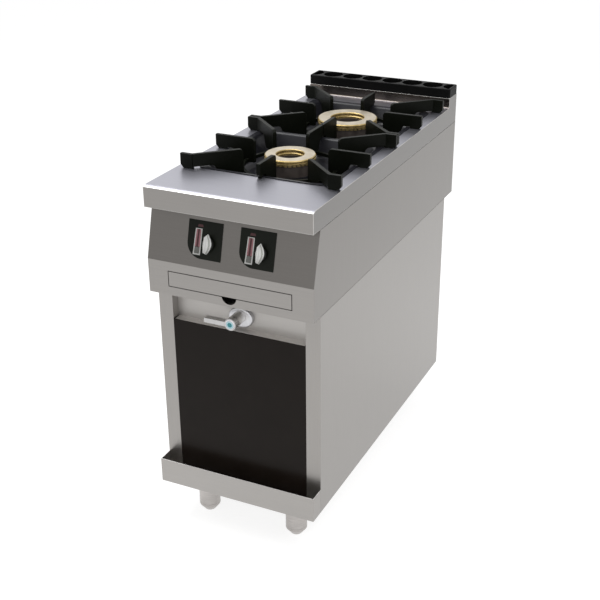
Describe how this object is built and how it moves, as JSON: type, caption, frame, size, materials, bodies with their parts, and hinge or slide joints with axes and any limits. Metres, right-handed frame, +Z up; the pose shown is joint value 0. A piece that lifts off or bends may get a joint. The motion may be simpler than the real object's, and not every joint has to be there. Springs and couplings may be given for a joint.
{
  "type": "two-burner gas range",
  "caption": "Free-standing professional gas range with open burners, cast pan grates, a spill basin, a sloped control panel, a drip drawer, a water tap and a closed base.",
  "frame": {"origin": "on the floor, in the middle of the footprint", "axes": "+X to the right as seen from the front, the front faces -Y, +Z up"},
  "size_m": [0.4, 0.9166, 0.9],
  "materials": {
    "side_steel": "brushed satin",
    "worktop_steel": "brushed satin, pressed top",
    "panel_steel": "brushed satin, darker",
    "back_steel": "mill finish sheet",
    "inner_steel": "mill finish sheet",
    "foot_steel": "turned and brushed",
    "black_enamel": "matt black enamel",
    "burner_iron": "blackened casting",
    "burner_brass": "machined",
    "gas_brass": "machined",
    "mixer_aluminium": "die cast",
    "pipe_steel": "zinc plated",
    "copper_pipe": null,
    "black_panel": "smooth black lacquer",
    "black_plastic": "fine satin",
    "silver_grip": "silver lacquer",
    "chrome_tap": "polished",
    "tap_cap_plastic": "pale, with a coloured dot",
    "screw_steel": "zinc plated"
  },
  "bodies": {
    "range_body": {"back_screws": "screw_steel", "base_tray": "side_steel", "bezel_left": "black_plastic", "bezel_right": "black_plastic", "burner_body_front": "burner_iron", "burner_body_rear": "burner_iron", "burner_rails": "inner_steel", "cabinet_back": "back_steel", "cabinet_side_left": "side_steel", "cabinet_side_right": "side_steel", "control_panel": "panel_steel", "fascia": "side_steel", "feed_pipe_front": "copper_pipe", "feed_pipe_rear": "copper_pipe", "fill_pipe": "copper_pipe", "flue_duct": "inner_steel", "foot_tubes": "foot_steel", "front_rail": "side_steel", "gas_injectors": "gas_brass", "gas_inlet_pipe": "pipe_steel", "gas_manifold": "pipe_steel", "gas_valve_left": "gas_brass", "gas_valve_right": "gas_brass", "mixer_tube_front": "mixer_aluminium", "mixer_tube_rear": "mixer_aluminium", "pilot_burners": "pipe_steel", "side_panel_left": "side_steel", "side_panel_right": "side_steel", "spill_basin": "black_enamel", "tap_body": "chrome_tap", "tap_flange": "chrome_tap", "tap_nut": "gas_brass", "thermocouples": "pipe_steel", "tray_runners": "inner_steel", "unit_floor": "inner_steel", "upper_back_panel": "back_steel", "water_supply_pipe": "copper_pipe", "worktop": "worktop_steel"},
    "drip_drawer": {"drawer_front": "side_steel", "drip_tray": "inner_steel"},
    "front_cover": {"front_panel": "black_panel"},
    "tap_lever": {"tap_handle": "chrome_tap", "tap_cap": "tap_cap_plastic"},
    "grate_front_body": {"grate_front": "black_enamel"},
    "grate_rear_body": {"grate_rear": "black_enamel"},
    "ring_front_body": {"burner_ring_front": "burner_brass"},
    "ring_rear_body": {"burner_ring_rear": "burner_brass"},
    "flue_cover": {"flue_grille": "black_enamel"},
    "push_left": {"stem_collar_left": "pipe_steel"},
    "knob_left": {"valve_stem_left": "pipe_steel", "knob_skirt_left": "black_plastic", "knob_grip_left": "silver_grip"},
    "push_right": {"stem_collar_right": "pipe_steel"},
    "knob_right": {"valve_stem_right": "pipe_steel", "knob_skirt_right": "black_plastic", "knob_grip_right": "silver_grip"},
    "foot_front_left": {"foot_bullet_front_left": "foot_steel"},
    "foot_front_right": {"foot_bullet_front_right": "foot_steel"},
    "foot_rear_left": {"foot_bullet_rear_left": "foot_steel"},
    "foot_rear_right": {"foot_bullet_rear_right": "foot_steel"}
  },
  "joints": [
    {"name": "drip_drawer_slide", "type": "slide", "parent": "range_body", "child": "drip_drawer", "axis": [0, -1, 0], "range_m": [0, 0.45]},
    {"name": "front_cover_lift", "type": "slide", "parent": "range_body", "child": "front_cover", "axis": [0, 0, 1], "range_m": [0, 0.01]},
    {"name": "tap_turn", "type": "hinge", "parent": "range_body", "child": "tap_lever", "pos_m": [0, -0.4347, 0.56], "axis": [0, -1, 0], "range_deg": [0, 90]},
    {"name": "grate_front_lift", "type": "slide", "parent": "range_body", "child": "grate_front_body", "axis": [0, 0, 1], "range_m": [0, 0.15]},
    {"name": "grate_rear_lift", "type": "slide", "parent": "range_body", "child": "grate_rear_body", "axis": [0, 0, 1], "range_m": [0, 0.15]},
    {"name": "ring_front_lift", "type": "slide", "parent": "range_body", "child": "ring_front_body", "axis": [0, 0, 1], "range_m": [0, 0.06]},
    {"name": "ring_rear_lift", "type": "slide", "parent": "range_body", "child": "ring_rear_body", "axis": [0, 0, 1], "range_m": [0, 0.06]},
    {"name": "flue_grille_lift", "type": "slide", "parent": "range_body", "child": "flue_cover", "axis": [0, 0, 1], "range_m": [0, 0.04]},
    {"name": "knob_left_push", "type": "slide", "parent": "range_body", "child": "push_left", "axis": [0, 0.9657, -0.2597], "range_m": [0, 0.003], "stiffness_N_per_m": 3000, "springref_m": -0.003},
    {"name": "knob_left_turn", "type": "hinge", "parent": "push_left", "child": "knob_left", "pos_m": [-0.05, -0.43708, 0.73771], "axis": [0, -0.9657, 0.2597], "range_deg": [0, 180]},
    {"name": "knob_right_push", "type": "slide", "parent": "range_body", "child": "push_right", "axis": [0, 0.9657, -0.2597], "range_m": [0, 0.003], "stiffness_N_per_m": 3000, "springref_m": -0.003},
    {"name": "knob_right_turn", "type": "hinge", "parent": "push_right", "child": "knob_right", "pos_m": [0.0755, -0.43708, 0.73771], "axis": [0, -0.9657, 0.2597], "range_deg": [0, 180]},
    {"name": "foot_front_left_height", "type": "slide", "parent": "range_body", "child": "foot_front_left", "axis": [0, 0, -1], "range_m": [0, 0.025]},
    {"name": "foot_front_right_height", "type": "slide", "parent": "range_body", "child": "foot_front_right", "axis": [0, 0, -1], "range_m": [0, 0.025]},
    {"name": "foot_rear_left_height", "type": "slide", "parent": "range_body", "child": "foot_rear_left", "axis": [0, 0, -1], "range_m": [0, 0.025]},
    {"name": "foot_rear_right_height", "type": "slide", "parent": "range_body", "child": "foot_rear_right", "axis": [0, 0, -1], "range_m": [0, 0.025]}
  ]
}
